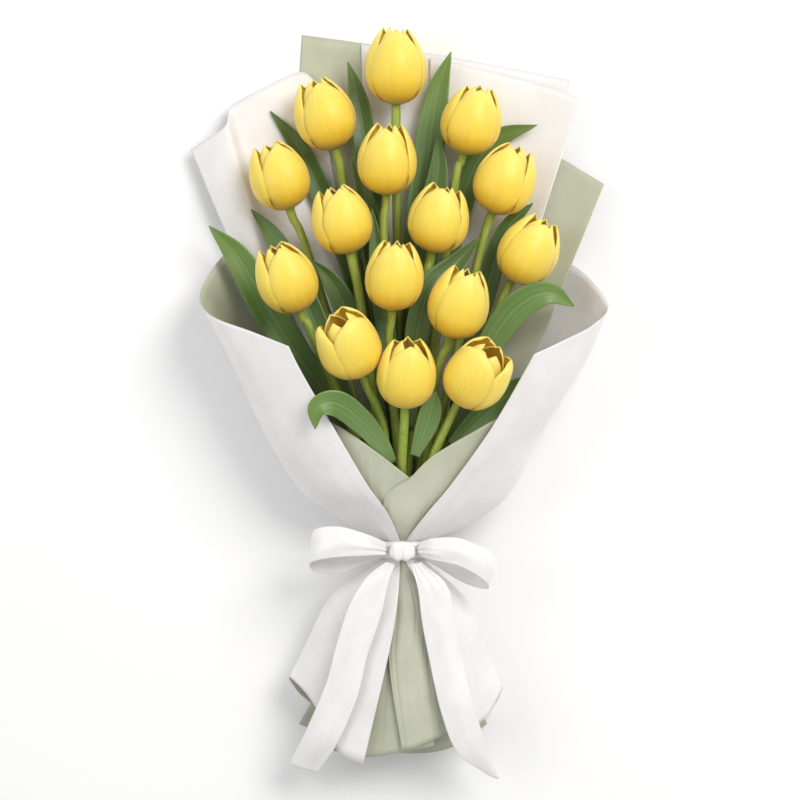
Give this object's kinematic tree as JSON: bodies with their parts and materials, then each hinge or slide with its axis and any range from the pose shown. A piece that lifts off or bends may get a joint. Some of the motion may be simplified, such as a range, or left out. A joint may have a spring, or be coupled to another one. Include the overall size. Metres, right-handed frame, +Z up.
{
  "type": "bunch of tulips",
  "caption": "Gift bunch of yellow tulips with long green leaves, wrapped in white and sage paper and tied with an ivory satin bow, lying on its back.",
  "frame": {"origin": "bottom centre of the whole bunch as it lies on its back, on the surface under it", "axes": "+Y from the cut stems to the flowers, +X across the bunch to its right seen from the front, +Z up out of its front"},
  "size_m": [0.3393, 0.6096, 0.1352],
  "materials": {
    "petal": "satin",
    "stem": "satin",
    "leaf": "satin",
    "paper_sage": "matte",
    "paper_white": "satin",
    "ribbon": "satin"
  },
  "bodies": {
    "root": {"flower_01": "petal", "stem_01": "stem", "flower_02": "petal", "stem_02": "stem", "flower_03": "petal", "stem_03": "stem", "flower_04": "petal", "stem_04": "stem", "flower_05": "petal", "stem_05": "stem", "flower_06": "petal", "stem_06": "stem", "flower_07": "petal", "stem_07": "stem", "flower_08": "petal", "stem_08": "stem", "flower_09": "petal", "stem_09": "stem", "flower_10": "petal", "stem_10": "stem", "flower_11": "petal", "stem_11": "stem", "flower_12": "petal", "stem_12": "stem", "flower_13": "petal", "stem_13": "stem", "flower_14": "petal", "stem_14": "stem", "flower_15": "petal", "stem_15": "stem", "leaf_back_left": "leaf", "leaf_back_right": "leaf", "leaf_upper_left": "leaf", "leaf_upper_right": "leaf", "leaf_left_long": "leaf", "leaf_left_inner": "leaf", "leaf_middle_left": "leaf", "leaf_middle_right": "leaf", "leaf_left_low": "leaf", "leaf_right_diagonal": "leaf", "leaf_right_inner": "leaf", "leaf_right_drooping": "leaf", "leaf_right_low": "leaf", "leaf_front_left": "leaf", "leaf_front_right": "leaf", "wrap_back_sage": "paper_sage", "wrap_right_sage": "paper_sage", "front_wrap_left": "paper_sage", "front_wrap_right": "paper_sage", "wrap_back_white": "paper_white", "wrap_right_white": "paper_white", "wrap_left_white": "paper_white", "collar_left": "paper_white", "collar_right": "paper_white", "ribbon_band": "ribbon", "ribbon_knot": "ribbon", "ribbon_loop_left": "ribbon", "ribbon_loop_right": "ribbon", "ribbon_tail_left": "ribbon", "ribbon_tail_right": "ribbon"}
  },
  "joints": []
}
